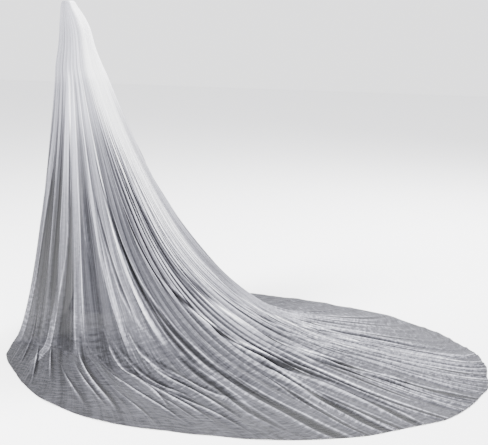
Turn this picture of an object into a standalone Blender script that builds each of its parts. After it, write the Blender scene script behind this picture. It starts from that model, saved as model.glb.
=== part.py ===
"""A cathedral length bridal veil, gathered on a hair comb and swept into a train.

Row frame: the origin is on the crown of the wearer's head, where the comb
sits. The wearer faces -Y, +X is the wearer's left and the train runs to +Y.
The floor lies FLOOR_DROP below the origin. Metres throughout.
"""

import math

import bpy
from mathutils import Vector

# Driving sizes
OBJECT_NAME = "bridal_veil"
FLOOR_DROP = 1.72
CLOTH_WALL = 0.0015
SEAM_GAP = 0.0003
COMB_WIDTH = 0.074
COLUMNS_PER_FOLD = 4
FLOOR_LIFT = 0.001

# Points along one thread of the cloth: over the head, then down to the hem,
# and how often the line is softened where it bends
HEAD_STEPS = 60
HANG_STEPS = 80
LINE_STEPS = 120
SOFTENING = 8

# Sections over the head and shoulders, from the comb down.
# Columns: height, half_width, back, front, straightness (1 is a straight row
# along the comb, 0 is half of an oval).
HEAD_SECTIONS = [
    (0.0050, 0.037, 0.000, 0.000, 1.0),
    (0.0200, 0.039, 0.005, -0.003, 0.9),
    (0.0290, 0.045, 0.014, -0.007, 0.6),
    (0.0220, 0.053, 0.026, -0.011, 0.3),
    (0.0000, 0.059, 0.040, -0.014, 0.1),
    (-0.0450, 0.071, 0.074, -0.012, 0.0),
    (-0.0900, 0.083, 0.099, -0.010, 0.0),
    (-0.1300, 0.090, 0.113, -0.009, 0.0),
    (-0.2000, 0.106, 0.130, -0.010, 0.0),
    (-0.2900, 0.150, 0.158, -0.002, 0.0),
    (-0.3600, 0.182, 0.188, 0.012, 0.0),
]

# Where the cloth comes down and where its cut edge lies, for the wearer's
# left and right. Columns: share of the sheet's half width from the centre
# back to the front edge, landing x, landing y, hem x, hem y, sag.
LEFT_SWEEP = [
    (0.000, 0.00, 2.10, 0.000, 2.165, 3.35),
    (0.180, 0.32, 1.98, 0.350, 2.085, 3.35),
    (0.300, 0.49, 1.76, 0.550, 1.930, 3.20),
    (0.400, 0.60, 1.42, 0.730, 1.720, 2.80),
    (0.470, 0.62, 1.02, 0.870, 1.450, 2.40),
    (0.540, 0.54, 0.68, 0.940, 1.150, 2.00),
    (0.615, 0.43, 0.40, 0.975, 0.850, 1.65),
    (0.685, 0.35, 0.20, 0.955, 0.550, 1.45),
    (0.760, 0.30, 0.05, 0.860, 0.290, 1.42),
    (0.860, 0.28, -0.09, 0.700, 0.070, 1.50),
    (1.000, 0.26, -0.26, 0.490, -0.160, 1.60),
]
RIGHT_SWEEP = [
    (0.000, 0.00, 2.10, 0.000, 2.165, 3.35),
    (0.160, 0.30, 2.02, 0.350, 2.085, 3.40),
    (0.270, 0.48, 1.90, 0.550, 1.930, 3.35),
    (0.370, 0.64, 1.68, 0.730, 1.720, 3.30),
    (0.450, 0.77, 1.38, 0.870, 1.450, 3.10),
    (0.530, 0.80, 1.02, 0.940, 1.150, 2.80),
    (0.610, 0.68, 0.66, 0.975, 0.850, 2.20),
    (0.690, 0.45, 0.30, 0.955, 0.550, 1.65),
    (0.760, 0.35, 0.08, 0.860, 0.290, 1.50),
    (0.860, 0.28, -0.09, 0.700, 0.070, 1.50),
    (1.000, 0.26, -0.26, 0.490, -0.160, 1.60),
]

# Folds of one half, from the centre back to the front edge.
# Columns: width and depth against the mean fold, and how much of the depth
# the fold keeps where it lies on the floor.
FOLDS = [
    (0.55, 0.80, 0.70),
    (0.70, 0.90, 1.00),
    (0.60, 1.10, 0.80),
    (0.80, 0.80, 1.10),
    (0.55, 1.00, 0.90),
    (0.75, 0.80, 1.20),
    (0.65, 1.20, 0.80),
    (0.90, 0.80, 1.00),
    (0.60, 1.10, 1.10),
    (0.70, 1.20, 0.90),
    (0.85, 0.80, 0.60),
    (0.55, 1.10, 1.00),
    (0.75, 1.20, 1.10),
    (0.65, 0.90, 0.70),
    (0.80, 1.10, 0.90),
    (0.60, 0.80, 0.60),
    (0.70, 1.20, 0.80),
    (0.60, 0.90, 0.70),
    (0.60, 1.00, 0.90),
    (2.60, 0.75, 0.60),
    (1.75, 0.80, 0.70),
    (1.90, 0.90, 0.50),
    (1.70, 0.80, 0.70),
    (2.40, 0.75, 0.40),
    (1.50, 0.90, 0.50),
    (0.90, 1.00, 0.40),
    (1.70, 0.70, 0.40),
    (0.65, 0.80, 0.30),
]

# How deep the folds are along the cloth, against half their own width.
# Columns: station (0 to 1 over the head, 1 to 2 from the shoulders to the
# hem), depth, and the share of the depth that goes inwards.
FOLD_DEPTH = [
    (0.00, 0.00, 0.0),
    (0.20, 0.03, 0.0),
    (0.45, 0.15, 0.3),
    (1.00, 0.60, 0.5),
    (1.20, 0.85, 0.5),
    (1.55, 0.95, 0.4),
    (1.75, 0.60, 0.0),
    (1.86, 0.34, 0.0),
    (2.00, 0.14, 0.0),
]
FLOOR_STATION = 1.70
FLOOR_BLEND = 0.15

# Steps for the directions across and down the cloth
SHARE_STEP = 0.004
STATION_STEP = 0.02

# The most that a sharp fold's points move out to keep the wall's thickness
OFFSET_LIMIT = 1.5

# Stations of the rows of points, from the comb to the hem
ROW_STATIONS = [
    0.0, 0.1, 0.2, 0.4, 0.5, 0.7, 0.85, 1.0,
    1.14, 1.28, 1.42, 1.54, 1.65, 1.74, 1.82, 1.91, 2.0,
]

# Stretches of the cloth from the right front edge to the left front edge.
# Columns: name, folds
STRETCHES = [
    ("veil_right_front", 5),
    ("veil_right_side", 5),
    ("veil_right_back", 8),
    ("train_right", 10),
    ("train_left", 10),
    ("veil_left_back", 9),
    ("veil_left_side", 4),
    ("veil_left_front", 5),
]

# Comb: a flat row of teeth under a spine
COMB_TEETH = 15
COMB_SPINE_HEIGHT = 0.006
COMB_TOOTH_LENGTH = 0.038
COMB_TOOTH_ROOT = 0.0026
COMB_TOOTH_TIP = 0.0012
COMB_THICKNESS = 0.0024

# Binding: the ribbon that holds the gathered edge on the comb's spine
BINDING_HEIGHT = 0.0070
BINDING_THICKNESS = 0.0040
BINDING_CORNER = 0.0008

# Colours are linear RGB
TULLE_COLOUR = (0.72, 0.72, 0.75, 1.0)
RIBBON_COLOUR = (0.80, 0.80, 0.82, 1.0)
COMB_COLOUR = (0.75, 0.76, 0.78, 1.0)


def read_table(table, column, place):
    """Read one column of a table at a place, along a smooth curve."""
    places = [row[0] for row in table]
    values = [row[column] for row in table]
    last = len(table) - 1
    place = min(max(place, places[0]), places[last])
    step = 0
    while step < last - 1 and place > places[step + 1]:
        step += 1

    def slope(index):
        before = max(index - 1, 0)
        after = min(index + 1, last)
        return (values[after] - values[before]) / (places[after] - places[before])

    span = places[step + 1] - places[step]
    u = (place - places[step]) / span
    return (
        (2 * u**3 - 3 * u**2 + 1) * values[step]
        + (u**3 - 2 * u**2 + u) * span * slope(step)
        + (3 * u**2 - 2 * u**3) * values[step + 1]
        + (u**3 - u**2) * span * slope(step + 1)
    )


def head_point(share, place):
    """A point of the cloth over the head: share -1 to 1, place 0 to 1."""
    table = [(index / (len(HEAD_SECTIONS) - 1),) + row for index, row in enumerate(HEAD_SECTIONS)]
    height, half_width, back, front, straight = (
        read_table(table, column, place) for column in range(1, 6)
    )
    angle = math.pi / 2 * share
    across = straight * share + (1 - straight) * math.sin(angle)
    rise = straight * (1 - share**2) + (1 - straight) * math.cos(angle)
    return Vector((half_width * across, front + (back - front) * rise, height))


def spaced(points, count):
    """The same path with its points evenly spaced."""
    reach = [0.0]
    for first, second in zip(points, points[1:]):
        reach.append(reach[-1] + (second - first).length)
    result = []
    step = 0
    for index in range(count):
        wanted = reach[-1] * index / (count - 1)
        while step < len(points) - 2 and reach[step + 1] < wanted:
            step += 1
        span = reach[step + 1] - reach[step]
        result.append(points[step].lerp(points[step + 1], (wanted - reach[step]) / span))
    return result


def fall_line(share):
    """One thread of the cloth from the comb to the hem, over the shoulder."""
    table = LEFT_SWEEP if share >= 0 else RIGHT_SWEEP
    side = 1 if share >= 0 else -1
    land_x, land_y, hem_x, hem_y, sag = (
        read_table(table, column, abs(share)) for column in range(1, 6)
    )
    floor = -FLOOR_DROP + CLOTH_WALL / 2 + FLOOR_LIFT
    shoulder = head_point(share, 1.0)
    landing = Vector((side * land_x, land_y, floor))
    hem = Vector((side * hem_x, hem_y, floor))
    head = [head_point(share, index / HEAD_STEPS) for index in range(HEAD_STEPS)]
    hanging = []
    for index in range(HANG_STEPS + 1):
        along = index / HANG_STEPS
        point = shoulder.lerp(landing, along)
        point.z = shoulder.z + (floor - shoulder.z) * (1 - (1 - along) ** sag)
        hanging.append(point)
    hanging.append(hem)
    line = head + spaced(hanging, LINE_STEPS + 1)
    for _ in range(SOFTENING):
        soft = [point.copy() for point in line]
        for index in range(HEAD_STEPS - 4, len(line) - 1):
            soft[index] = (line[index - 1] + line[index] * 2 + line[index + 1]) / 4
        line = soft
    return line


def station_point(line, station):
    """The point of a fall line at a station from 0 at the comb to 2 at the hem."""
    if station <= 1.0:
        place = station * HEAD_STEPS
    else:
        place = HEAD_STEPS + (station - 1.0) * LINE_STEPS
    step = min(int(place), len(line) - 2)
    return line[step].lerp(line[step + 1], place - step)


def fold_columns():
    """Shares of all columns, with the wave height and the fold at each."""
    total = sum(row[0] for row in FOLDS)
    swapped = [FOLDS[index + 1 - 2 * (index % 2)] for index in range(len(FOLDS))]
    folds = []
    share = -1.0
    for row in swapped[::-1] + FOLDS:
        width = row[0] / total
        folds.append((share, width, row))
        share += width
    columns = []
    for start, width, row in folds:
        for step in range(COLUMNS_PER_FOLD):
            turn = step / COLUMNS_PER_FOLD
            wave = (1 - math.cos(2 * math.pi * turn)) / 2
            columns.append((start + width * turn, wave, width, row))
    columns.append((1.0, 0.0, folds[-1][1], folds[-1][2]))
    return columns


def folded_sheet():
    """The middle surface of the whole cloth, as columns of points."""
    sheet = []
    for share, wave, width, row in fold_columns():
        low = max(share - SHARE_STEP, -1.0)
        high = min(share + SHARE_STEP, 1.0)
        before = fall_line(low)
        here = fall_line(share)
        after = fall_line(high)
        column = []
        for station in ROW_STATIONS:
            across = (station_point(after, station) - station_point(before, station)) / (high - low)
            above = station_point(here, max(station - STATION_STEP, 0.0))
            below = station_point(here, min(station + STATION_STEP, 2.0))
            down = below - above
            outward = across.cross(down).normalized()
            ratio = read_table(FOLD_DEPTH, 1, station)
            inwards = read_table(FOLD_DEPTH, 2, station)
            floor_share = min(max((station - FLOOR_STATION) / FLOOR_BLEND, 0.0), 1.0)
            keep = 1 + (row[2] - 1) * floor_share
            depth = ratio * row[1] * keep * across.length * width / 2
            column.append(station_point(here, station) + outward * depth * (wave - inwards))
        sheet.append(column)
    return sheet


def sheet_normals(sheet):
    """Outward offsets of each point, so that the wall keeps its thickness."""
    columns = len(sheet)
    rows = len(sheet[0])
    faces = {}
    for column in range(columns - 1):
        for row in range(rows - 1):
            first = sheet[column + 1][row + 1] - sheet[column][row]
            second = sheet[column][row + 1] - sheet[column + 1][row]
            faces[column, row] = first.cross(second).normalized()
    offsets = []
    for column in range(columns):
        line = []
        for row in range(rows):
            near = [
                faces[c, r]
                for c in (column - 1, column)
                for r in (row - 1, row)
                if (c, r) in faces
            ]
            normal = sum(near, Vector()).normalized()
            fit = sum(normal.dot(face) for face in near) / len(near)
            line.append(normal * min(1 / fit, OFFSET_LIMIT))
        offsets.append(line)
    return offsets


def principled(name, colour, roughness, metallic=0.0):
    """A plain material."""
    material = bpy.data.materials.new(name)
    material.use_nodes = True
    shader = material.node_tree.nodes["Principled BSDF"]
    shader.inputs["Base Color"].default_value = colour
    shader.inputs["Roughness"].default_value = roughness
    shader.inputs["Metallic"].default_value = metallic
    material.diffuse_color = colour
    return material


def add_object(name, mesh, material, collection):
    """An object in the veil's collection with its own material."""
    obj = bpy.data.objects.new(name, mesh)
    mesh.materials.clear()
    mesh.materials.append(material)
    collection.objects.link(obj)
    return obj


def cloth_wall(name, middle, offsets):
    """A closed wall of cloth round a grid of points, both sides and rims."""
    columns = len(middle)
    rows = len(middle[0])
    half = CLOTH_WALL / 2
    outer = [p + n * half for line, ns in zip(middle, offsets) for p, n in zip(line, ns)]
    inner = [p - n * half for line, ns in zip(middle, offsets) for p, n in zip(line, ns)]
    count = columns * rows

    def at(column, row):
        return column * rows + row

    faces = []
    for column in range(columns - 1):
        for row in range(rows - 1):
            a, b = at(column, row), at(column + 1, row)
            c, d = at(column + 1, row + 1), at(column, row + 1)
            falling = (middle[column + 1][row + 1] - middle[column][row]).length
            rising = (middle[column][row + 1] - middle[column + 1][row]).length
            # Both sides are cut along the same, shorter diagonal, so they stay apart
            halves = ((a, b, d), (b, c, d)) if rising < falling else ((a, b, c), (a, c, d))
            for corners in halves:
                faces.append(corners)
                faces.append(tuple(index + count for index in reversed(corners)))
    border = [at(column, 0) for column in range(columns)]
    border += [at(columns - 1, row) for row in range(1, rows)]
    border += [at(column, rows - 1) for column in range(columns - 2, -1, -1)]
    border += [at(0, row) for row in range(rows - 2, 0, -1)]
    for first, second in zip(border, border[1:] + border[:1]):
        # Facing rims share their diagonals, so that the gap between them is even
        if first < second:
            faces.append((second, first, second + count))
            faces.append((first, first + count, second + count))
        else:
            faces.append((second, first, first + count))
            faces.append((second, first + count, second + count))
    mesh = bpy.data.meshes.new(name)
    mesh.from_pydata(outer + inner, [], faces)
    mesh.update()
    return mesh


def add_cloth(collection):
    """The veil's cloth, in stretches that part half way up a fold's side."""
    sheet = folded_sheet()
    offsets = sheet_normals(sheet)
    last = len(sheet) - 1
    first = 0
    folds_done = 0
    for name, folds in STRETCHES:
        folds_done += folds
        final = min(folds_done * COLUMNS_PER_FOLD + 1, last)
        middle = [[point.copy() for point in line] for line in sheet[first : final + 1]]
        for column, neighbour in ((0, 1), (-1, -2)):
            if (column == 0 and first == 0) or (column == -1 and final == last):
                continue
            for row, point in enumerate(middle[column]):
                inward = (middle[neighbour][row] - point).normalized()
                middle[column][row] = point + inward * SEAM_GAP / 2
        mesh = cloth_wall(name, middle, offsets[first : final + 1])
        first = final
        material = principled(name + "_tulle", TULLE_COLOUR, 0.85)
        add_object(name, mesh, material, collection)


def add_comb(collection):
    """A flat comb: a spine with teeth that point down into the hair."""
    top = -SEAM_GAP - BINDING_HEIGHT + HEAD_SECTIONS[0][0] - SEAM_GAP
    bottom = top - COMB_SPINE_HEIGHT
    pitch = COMB_WIDTH / COMB_TEETH
    outline = [(-COMB_WIDTH / 2, top), (-COMB_WIDTH / 2, bottom)]
    for index in range(COMB_TEETH):
        centre = -COMB_WIDTH / 2 + pitch * (index + 0.5)
        outline += [
            (centre - COMB_TOOTH_ROOT / 2, bottom),
            (centre - COMB_TOOTH_TIP / 2, bottom - COMB_TOOTH_LENGTH),
            (centre + COMB_TOOTH_TIP / 2, bottom - COMB_TOOTH_LENGTH),
            (centre + COMB_TOOTH_ROOT / 2, bottom),
        ]
    outline += [(COMB_WIDTH / 2, bottom), (COMB_WIDTH / 2, top)]
    curve = bpy.data.curves.new("comb", "CURVE")
    curve.dimensions = "2D"
    curve.fill_mode = "BOTH"
    curve.extrude = COMB_THICKNESS / 2
    spline = curve.splines.new("POLY")
    spline.points.add(len(outline) - 1)
    for point, (x, z) in zip(spline.points, outline):
        point.co = (x, z, 0.0, 1.0)
    spline.use_cyclic_u = True
    obj = bpy.data.objects.new("comb", curve)
    obj.rotation_euler = (math.pi / 2, 0, 0)
    curve.materials.append(principled("comb_plastic", COMB_COLOUR, 0.25))
    collection.objects.link(obj)


def add_binding(collection):
    """The ribbon folded over the gathered edge and sewn to the spine."""
    height = HEAD_SECTIONS[0][0] - SEAM_GAP - BINDING_HEIGHT / 2
    bpy.ops.mesh.primitive_cube_add(size=1, location=(0, 0, height))
    obj = bpy.context.active_object
    obj.name = "binding"
    obj.scale = (COMB_WIDTH + 0.003, BINDING_THICKNESS, BINDING_HEIGHT)
    bpy.ops.object.transform_apply(location=False, rotation=False, scale=True)
    bevel = obj.modifiers.new("soft_edges", "BEVEL")
    bevel.width = BINDING_CORNER
    bevel.segments = 2
    obj.data.materials.append(principled("binding_ribbon", RIBBON_COLOUR, 0.5))
    for other in list(obj.users_collection):
        other.objects.unlink(obj)
    collection.objects.link(obj)


def main():
    for obj in list(bpy.data.objects):
        bpy.data.objects.remove(obj, do_unlink=True)
    collection = bpy.data.collections.new(OBJECT_NAME)
    bpy.context.scene.collection.children.link(collection)
    add_cloth(collection)
    add_binding(collection)
    add_comb(collection)


main()
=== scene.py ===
# %% [markdown]
# # A cathedral length bridal veil
# The part's solids hold the veil's true form: one sheet of net, gathered on a
# hair comb, falling open at the front and swept into a train. This script
# gives it its looks: finer folds, the net itself, a ribbon binding and a comb.
# The frame comes first, because every size below is in its coordinates:
# the origin at the comb, +Z up, the train to +Y, metres throughout.

# %% Load the frame
import math

import bpy
import numpy as np
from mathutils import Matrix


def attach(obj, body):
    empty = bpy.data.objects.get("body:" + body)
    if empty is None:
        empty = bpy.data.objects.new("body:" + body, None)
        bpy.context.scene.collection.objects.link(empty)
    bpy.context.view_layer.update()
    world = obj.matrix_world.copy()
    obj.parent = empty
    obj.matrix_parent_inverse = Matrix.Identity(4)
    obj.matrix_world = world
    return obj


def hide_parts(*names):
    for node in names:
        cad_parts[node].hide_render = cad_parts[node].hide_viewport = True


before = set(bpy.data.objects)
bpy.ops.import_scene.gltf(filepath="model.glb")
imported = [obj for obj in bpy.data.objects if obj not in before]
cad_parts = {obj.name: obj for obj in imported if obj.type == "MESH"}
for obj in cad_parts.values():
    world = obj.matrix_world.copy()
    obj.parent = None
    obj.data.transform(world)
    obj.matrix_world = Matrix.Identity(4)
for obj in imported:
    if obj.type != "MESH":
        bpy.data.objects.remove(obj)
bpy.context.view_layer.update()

# %% [markdown]
# ## The camera
# The photograph looks at the veil's left side and a little from behind, from
# about five metres away and a little above its top, and it looks down at the
# train. The lens is long, so the veil keeps its upright lines. The veil fills
# the frame, with its top close to the upper edge.

# %% Camera
CAMERA_PLACE = (4.340, 2.636, 0.040)
CAMERA_TURN = 111.3
CAMERA_DIP = 13.0
LENS_MM = 71.6
SENSOR_MM = 36.0


def add_object(name, data):
    """An object at the origin, in the scene."""
    thing = bpy.data.objects.new(name, data)
    bpy.context.scene.collection.objects.link(thing)
    return thing


def add_camera():
    """The scene's camera, where the photograph was taken from."""
    data = bpy.data.cameras.new("studio_camera")
    data.lens = LENS_MM
    data.sensor_width = SENSOR_MM
    camera = add_object("studio_camera", data)
    camera.location = CAMERA_PLACE
    camera.rotation_euler = (math.radians(90 - CAMERA_DIP), 0, math.radians(CAMERA_TURN))
    bpy.context.scene.camera = camera
    print("camera at", CAMERA_PLACE, "lens", LENS_MM, "mm")


add_camera()

# %% [markdown]
# ## How the cloth falls
# Each thread of the net runs from the comb over the rounded top, falls in one
# long curve, meets the floor and lies out to the hem. A thread is named by its
# share of the sheet: 0 at the centre back, 1 at the left front edge and -1 at
# the right front edge. The same short tables as in the solids give the sections
# of the top and the sweep of the cloth, so the fine sheet lies on its solids.

# %% Tables of the fall
FLOOR_DROP = 1.72
FLOOR_CLEAR = 0.0018
HEAD_STEPS = 60
HANG_STEPS = 80
LINE_STEPS = 120
SOFTENING_PASSES = 8
SOFTENING_LEAD = 4

# height, half width, back, front, straightness
HEAD_SECTIONS = np.array([
    (0.0050, 0.037, 0.000, 0.000, 1.0),
    (0.0200, 0.039, 0.005, -0.003, 0.9),
    (0.0290, 0.045, 0.014, -0.007, 0.6),
    (0.0220, 0.053, 0.026, -0.011, 0.3),
    (0.0000, 0.059, 0.040, -0.014, 0.1),
    (-0.0450, 0.071, 0.074, -0.012, 0.0),
    (-0.0900, 0.083, 0.099, -0.010, 0.0),
    (-0.1300, 0.090, 0.113, -0.009, 0.0),
    (-0.2000, 0.106, 0.130, -0.010, 0.0),
    (-0.2900, 0.150, 0.158, -0.002, 0.0),
    (-0.3600, 0.182, 0.188, 0.012, 0.0),
])

# share, landing x, landing y, hem x, hem y, sag
LEFT_SWEEP = np.array([
    (0.000, 0.00, 2.10, 0.000, 2.165, 3.35),
    (0.180, 0.32, 1.98, 0.350, 2.085, 3.35),
    (0.300, 0.49, 1.76, 0.550, 1.930, 3.20),
    (0.400, 0.60, 1.42, 0.730, 1.720, 2.80),
    (0.470, 0.62, 1.02, 0.870, 1.450, 2.40),
    (0.540, 0.54, 0.68, 0.940, 1.150, 2.00),
    (0.615, 0.43, 0.40, 0.975, 0.850, 1.65),
    (0.685, 0.35, 0.20, 0.955, 0.550, 1.45),
    (0.760, 0.30, 0.05, 0.860, 0.290, 1.42),
    (0.860, 0.28, -0.09, 0.700, 0.070, 1.50),
    (1.000, 0.26, -0.26, 0.490, -0.160, 1.60),
])
RIGHT_SWEEP = np.array([
    (0.000, 0.00, 2.10, 0.000, 2.165, 3.35),
    (0.160, 0.30, 2.06, 0.350, 2.085, 3.40),
    (0.270, 0.48, 1.90, 0.550, 1.930, 3.35),
    (0.370, 0.64, 1.68, 0.730, 1.720, 3.30),
    (0.450, 0.77, 1.38, 0.870, 1.450, 3.10),
    (0.530, 0.80, 1.02, 0.940, 1.150, 2.80),
    (0.610, 0.68, 0.66, 0.975, 0.850, 2.20),
    (0.690, 0.45, 0.30, 0.955, 0.550, 1.65),
    (0.760, 0.35, 0.08, 0.860, 0.290, 1.50),
    (0.860, 0.28, -0.09, 0.700, 0.070, 1.50),
    (1.000, 0.26, -0.26, 0.490, -0.160, 1.60),
])
print("threads are read from", len(LEFT_SWEEP) + len(RIGHT_SWEEP), "rows")


# %% Read a table along a smooth curve
def read_table(places, values, wanted):
    """Values at the wanted places, on a smooth curve through the table."""
    wanted = np.clip(wanted, places[0], places[-1])
    step = np.clip(np.searchsorted(places, wanted, side="left") - 1, 0, len(places) - 2)
    slope = np.empty_like(values)
    slope[1:-1] = (values[2:] - values[:-2]) / (places[2:] - places[:-2])
    slope[0] = (values[1] - values[0]) / (places[1] - places[0])
    slope[-1] = (values[-1] - values[-2]) / (places[-1] - places[-2])
    span = places[step + 1] - places[step]
    u = (wanted - places[step]) / span
    return (
        (2 * u**3 - 3 * u**2 + 1) * values[step]
        + (u**3 - 2 * u**2 + u) * span * slope[step]
        + (3 * u**2 - 2 * u**3) * values[step + 1]
        + (u**3 - u**2) * span * slope[step + 1]
    )


def head_points(shares, place):
    """Points over the rounded top for all threads, at one place from 0 to 1."""
    places = np.linspace(0, 1, len(HEAD_SECTIONS))
    height, half_width, back, front, straight = (
        read_table(places, HEAD_SECTIONS[:, column], np.array([place]))[0] for column in range(5)
    )
    angle = math.pi / 2 * shares
    across = straight * shares + (1 - straight) * np.sin(angle)
    rise = straight * (1 - shares**2) + (1 - straight) * np.cos(angle)
    return np.stack(
        [half_width * across, front + (back - front) * rise, np.full_like(shares, height)], axis=1
    )


# %% Threads from the comb to the hem
def fall_lines(shares):
    """Threads as an array: one row of points for each share."""
    sides = np.where(shares >= 0, 1.0, -1.0)
    values = []
    for column in range(1, 6):
        left = read_table(LEFT_SWEEP[:, 0], LEFT_SWEEP[:, column], np.abs(shares))
        right = read_table(RIGHT_SWEEP[:, 0], RIGHT_SWEEP[:, column], np.abs(shares))
        values.append(np.where(shares >= 0, left, right))
    land_x, land_y, hem_x, hem_y, sag = values
    floor = np.full_like(shares, FLOOR_CLEAR - FLOOR_DROP)
    shoulder = head_points(shares, 1.0)
    landing = np.stack([sides * land_x, land_y, floor], axis=1)
    hem = np.stack([sides * hem_x, hem_y, floor], axis=1)
    along = np.linspace(0, 1, HANG_STEPS + 1)[None, :, None]
    hanging = shoulder[:, None, :] * (1 - along) + landing[:, None, :] * along
    drop = 1 - (1 - along[:, :, 0]) ** sag[:, None]
    hanging[:, :, 2] = shoulder[:, 2:3] + (floor - shoulder[:, 2])[:, None] * drop
    hanging = np.concatenate([hanging, hem[:, None, :]], axis=1)
    head = np.stack([head_points(shares, i / HEAD_STEPS) for i in range(HEAD_STEPS)], axis=1)
    lines = np.empty((len(shares), HEAD_STEPS + LINE_STEPS + 1, 3))
    lines[:, :HEAD_STEPS] = head
    steps = np.linalg.norm(np.diff(hanging, axis=1), axis=2)
    reach = np.concatenate([np.zeros((len(shares), 1)), np.cumsum(steps, axis=1)], axis=1)
    for index in range(len(shares)):
        wanted = np.linspace(0, reach[index, -1], LINE_STEPS + 1)
        for axis in range(3):
            along_axis = hanging[index, :, axis]
            lines[index, HEAD_STEPS:, axis] = np.interp(wanted, reach[index], along_axis)
    first = HEAD_STEPS - SOFTENING_LEAD
    for _ in range(SOFTENING_PASSES):
        ahead, here, beyond = lines[:, first - 1:-2], lines[:, first:-1], lines[:, first + 1:]
        soft = lines.copy()
        soft[:, first:-1] = (ahead + 2 * here + beyond) / 4
        lines = soft
    return lines


def at_stations(lines, stations):
    """Points of the threads at stations: 0 to 1 over the top, 1 to 2 below."""
    place = np.where(stations <= 1, stations * HEAD_STEPS, HEAD_STEPS + (stations - 1) * LINE_STEPS)
    step = np.clip(place.astype(int), 0, lines.shape[1] - 2)
    part = (place - step)[None, :, None]
    return lines[:, step] * (1 - part) + lines[:, step + 1] * part


centre_thread = fall_lines(np.zeros(1))[0]
centre_length = np.linalg.norm(np.diff(centre_thread, axis=0), axis=1).sum()
print("a thread at the centre back is %.2f m long" % centre_length)

# %% [markdown]
# ## Main folds
# Net falls in a few broad folds at the sides and many narrow ones at the back,
# where the gathers pull tight. One table holds each fold of a half: its width
# and depth against the mean fold, and what it keeps on the floor. The right
# half has the same folds with neighbours swapped, so the halves are alike but
# no mirror image.

# %% Table of folds
# width, depth, depth kept on the floor
FOLDS = [
    (0.55, 0.80, 0.70),
    (0.70, 0.90, 1.00),
    (0.60, 1.10, 0.80),
    (0.80, 0.80, 1.10),
    (0.55, 1.00, 0.90),
    (0.75, 0.80, 1.20),
    (0.65, 1.20, 0.80),
    (0.90, 0.80, 1.00),
    (0.60, 1.10, 1.10),
    (0.70, 1.20, 0.90),
    (0.85, 0.80, 0.60),
    (0.55, 1.10, 1.00),
    (0.75, 1.20, 1.10),
    (0.65, 0.90, 0.70),
    (0.80, 1.10, 0.90),
    (0.60, 0.80, 0.60),
    (0.70, 1.20, 0.80),
    (0.60, 0.90, 0.70),
    (0.60, 1.00, 0.90),
    (2.60, 0.75, 0.60),
    (1.75, 0.80, 0.70),
    (1.90, 0.90, 0.50),
    (1.70, 0.80, 0.70),
    (2.40, 0.75, 0.40),
    (1.50, 0.90, 0.50),
    (0.90, 1.00, 0.40),
    (1.70, 0.70, 0.40),
    (0.65, 0.80, 0.30),
]
# station, depth against half the fold's width, share of it that goes inwards
FOLD_DEPTH = np.array([
    (0.00, 0.00, 0.0),
    (0.20, 0.03, 0.0),
    (0.45, 0.11, 0.3),
    (1.00, 0.40, 0.5),
    (1.20, 0.75, 0.5),
    (1.55, 0.95, 0.4),
    (1.75, 0.46, 0.0),
    (1.86, 0.22, 0.0),
    (2.00, 0.10, 0.0),
])
FLOOR_STATION = 1.70
FLOOR_BLEND = 0.15

swapped = [FOLDS[index + 1 - 2 * (index % 2)] for index in range(len(FOLDS))]
all_folds = np.array(swapped[::-1] + FOLDS)
fold_width = all_folds[:, 0] / sum(row[0] for row in FOLDS)
fold_start = -1.0 + np.concatenate([[0.0], np.cumsum(fold_width)])
print(len(all_folds), "folds, the widest takes %.3f of a half" % fold_width.max())

# %% [markdown]
# ## Columns and rows of the fine sheet
# The fine sheet needs points close enough for a pleat a centimetre wide, so a
# broad fold gets more columns than a narrow one. Rows are closer over the top,
# where the form turns fastest.

# %% Columns and rows
FINE_STEPS = 22
ROWS = 236
GRID_LINES = 1001
BROAD_FOLD_STEPS = 1.25
ROWS_OVER_TOP = 0.24

steps = np.round(BROAD_FOLD_STEPS * FINE_STEPS * all_folds[:, 0])
steps = np.maximum(FINE_STEPS, steps).astype(int)
fold_first = np.concatenate([[0], np.cumsum(steps)])
columns = fold_first[-1] + 1
fold_index = np.append(np.repeat(np.arange(len(all_folds)), steps), len(all_folds) - 1)
turn = (np.arange(columns) - fold_first[fold_index]) / steps[fold_index]
fold_place = fold_index + turn
shares = fold_start[fold_index] + fold_width[fold_index] * turn
row_place = np.linspace(0, 1, ROWS)
stations = np.interp(row_place, [0, ROWS_OVER_TOP, 1.0], [0, 1, 2])
print("sheet of", columns, "by", ROWS, "points")


# %% Small curves used all through
def smooth(part):
    """A straight rise from 0 to 1, rounded at both ends."""
    return part * part * (3 - 2 * part)


def ease(value, start, end):
    """A smooth step from 0 at start to 1 at end."""
    return smooth(np.clip((value - start) / (end - start), 0, 1))


def between(value, start, full, ending, end):
    """1 from full to ending, and 0 before start and after end."""
    return ease(value, start, full) * (1 - ease(value, ending, end))


def hump(value, centre, width):
    """A smooth bump, 1 at its centre."""
    return np.exp(-(((value - centre) / width) ** 2))


def by_station(values):
    """A value for each row of points, read between those given at some stations."""
    return np.interp(stations, list(values), list(values.values()))[None, :]


def slow_noise(count, knots, seed):
    """One smooth random curve from -1 to 1 along the rows, for each of count."""
    values = np.random.default_rng(seed).uniform(-1, 1, (count, knots))
    place = row_place * (knots - 1)
    step = np.minimum(place.astype(int), knots - 2)
    blend = smooth(place - step)
    return values[:, step] * (1 - blend) + values[:, step + 1] * blend


def per_column(curves):
    """Curves given for each fold, blended from fold to fold over the columns."""
    centre = fold_place - 0.5
    step = np.clip(np.floor(centre).astype(int), 0, len(all_folds) - 2)
    blend = smooth(np.clip(centre - step, 0, 1)[:, None])
    return curves[step] * (1 - blend) + curves[step + 1] * blend


def unit(vectors):
    """Vectors brought to a length of 1."""
    return vectors / np.maximum(np.linalg.norm(vectors, axis=2, keepdims=True), 1e-12)

# %% [markdown]
# ## How the folds flow
# Folds don't lie exactly along the threads. Where the cloth turns on to the
# floor they are dragged towards the centre back, and on the floor they fan out
# again to the hem. This is a smooth shift of each fold's share with the station.

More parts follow.
